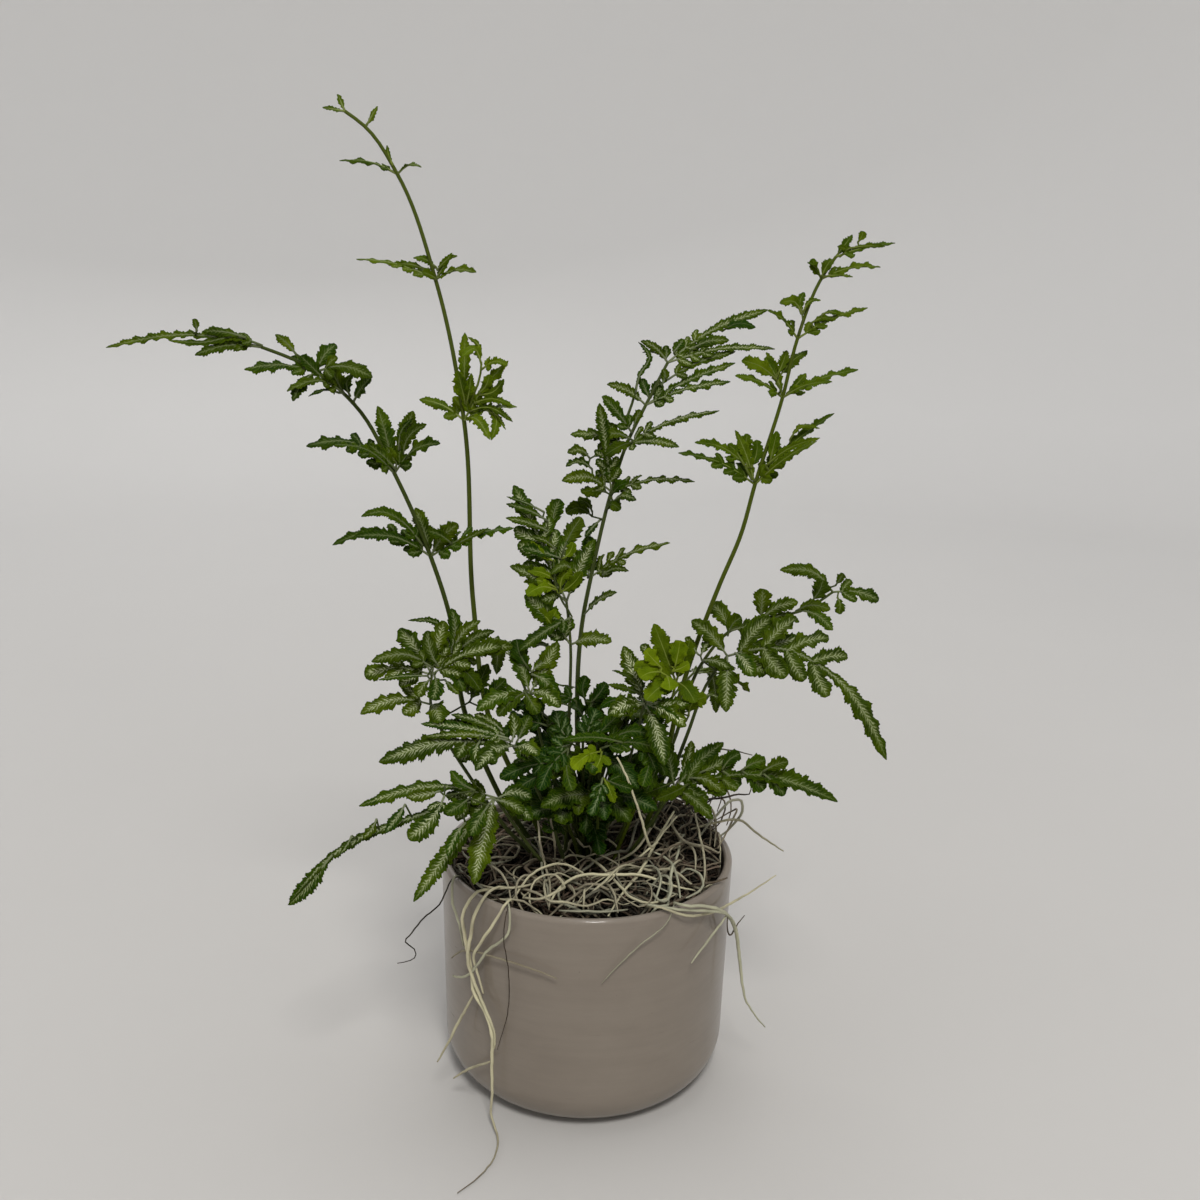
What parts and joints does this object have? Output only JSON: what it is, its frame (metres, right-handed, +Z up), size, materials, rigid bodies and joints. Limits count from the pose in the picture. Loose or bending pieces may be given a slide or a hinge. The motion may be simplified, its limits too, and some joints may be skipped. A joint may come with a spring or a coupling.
{
  "type": "potted silver lace fern",
  "caption": "Silver lace fern with arching fronds in a plain glazed cylindrical pot, topped with Spanish moss strands, free-standing on its flat foot.",
  "frame": {"origin": "centre of the pot's flat foot, on the surface that it stands on", "axes": "+Z up, -Y towards the front of the plant, +X to the right as seen from the front"},
  "size_m": [0.3041, 0.2067, 0.4131],
  "materials": {
    "taupe_glaze": "satin-gloss taupe glaze with faint horizontal streaks",
    "potting_mix": "damp dark bark and peat mix, matt",
    "spanish_moss": "dry grey-beige moss strands, matt",
    "fern_green": "dark green leaf with a silver feathered band, low sheen",
    "fern_young_green": "bright young green leaf, low sheen"
  },
  "bodies": {
    "root": {"pot": "taupe_glaze", "potting_mix": "potting_mix", "spanish_moss": "spanish_moss", "moss_trail_front": "spanish_moss", "moss_trail_right": "spanish_moss", "fern_crown": "fern_green", "frond_tall_left": "fern_green", "frond_arching_left": "fern_green", "frond_tall_right": "fern_young_green", "frond_centre_tall": "fern_green", "frond_centre_left": "fern_green", "frond_upper_right": "fern_green", "frond_silver_right": "fern_green", "frond_lower_right": "fern_green", "frond_left_cluster": "fern_green", "frond_front_left": "fern_green", "frond_lower_left": "fern_green", "frond_young_right": "fern_young_green", "frond_silver_star": "fern_green", "frond_inner_left": "fern_green", "frond_back_left": "fern_green", "frond_back_right": "fern_green"}
  },
  "joints": []
}
